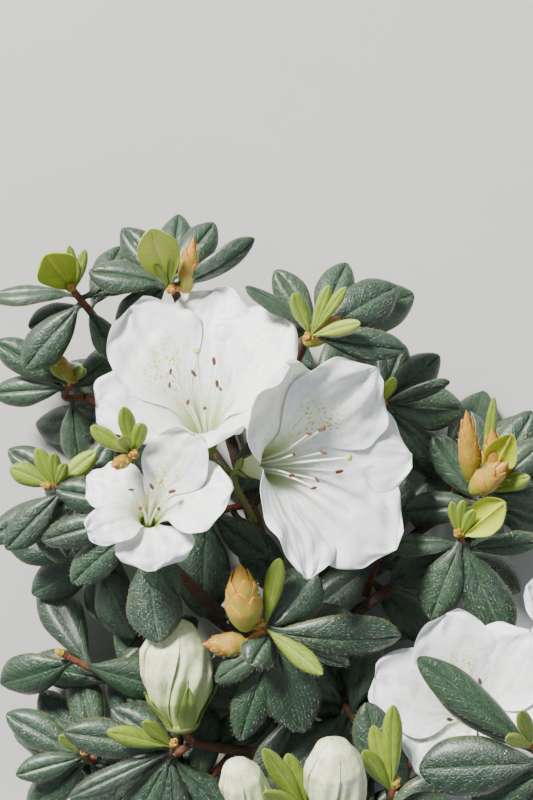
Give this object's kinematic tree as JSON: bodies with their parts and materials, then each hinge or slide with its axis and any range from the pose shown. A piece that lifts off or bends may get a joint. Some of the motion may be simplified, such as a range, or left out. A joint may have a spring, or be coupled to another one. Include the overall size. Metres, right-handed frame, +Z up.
{
  "type": "cut flowering branch of a white evergreen azalea",
  "caption": "Cut flowering branch of a white evergreen azalea lying face up, with whorls of leathery leaves, open white blooms and swelling buds.",
  "frame": {"origin": "centre of the footprint, on the surface that the cut branch lies on", "axes": "+Z up from the surface towards the open blooms, +Y along the branch from its cut end to its top, +X to the right for someone who looks down on it with +Y away from them"},
  "size_m": [0.2196, 0.2466, 0.097],
  "materials": {
    "bark": "rough reddish-brown bark",
    "foliage": "leathery dark green leaves with a grey sheen, and brown bud scales",
    "petal": "soft white petals with yellow-green speckles",
    "flower_bud": "satin pale greenish-white folded petals on a green calyx"
  },
  "bodies": {
    "root": {"back_shoot_bottom": "foliage", "back_shoot_centre": "foliage", "back_shoot_far_left": "foliage", "back_shoot_far_right": "foliage", "back_shoot_inner_right": "foliage", "back_shoot_left": "foliage", "back_shoot_low": "foliage", "back_shoot_low_left": "foliage", "back_shoot_low_right": "foliage", "back_shoot_mid_right": "foliage", "back_shoot_outer_right": "foliage", "back_shoot_right": "foliage", "back_shoot_top": "foliage", "back_shoot_upper_left": "foliage", "bloom_centre": "petal", "bloom_left": "petal", "bloom_lower_right": "petal", "bloom_right": "petal", "bloom_upper": "petal", "bud_limb": "bark", "bud_shoot": "foliage", "centre_front_limb": "bark", "centre_limb": "bark", "centre_shoot": "foliage", "far_right_limb": "bark", "far_right_shoot": "foliage", "front_limb": "bark", "front_right_shoot": "foliage", "front_shoot": "foliage", "left_centre_limb": "bark", "left_centre_shoot": "foliage", "left_limb": "bark", "left_shoot": "foliage", "lower_bloom_limb": "bark", "lower_left_limb": "bark", "lower_left_shoot": "foliage", "lower_right_limb": "bark", "lower_right_shoot": "foliage", "main_stem": "bark", "mid_left_limb": "bark", "mid_left_shoot": "foliage", "right_bloom_limb": "bark", "right_limb": "bark", "right_mid_limb": "bark", "right_mid_shoot": "foliage", "right_shoot": "foliage", "top_limb": "bark", "top_right_limb": "bark", "top_right_shoot": "foliage", "top_shoot": "foliage", "under_bloom_shoot": "foliage", "upper_left_limb": "bark", "upper_left_shoot": "foliage", "white_bud_front": "flower_bud", "white_bud_front_left": "flower_bud", "white_bud_left": "flower_bud"}
  },
  "joints": []
}
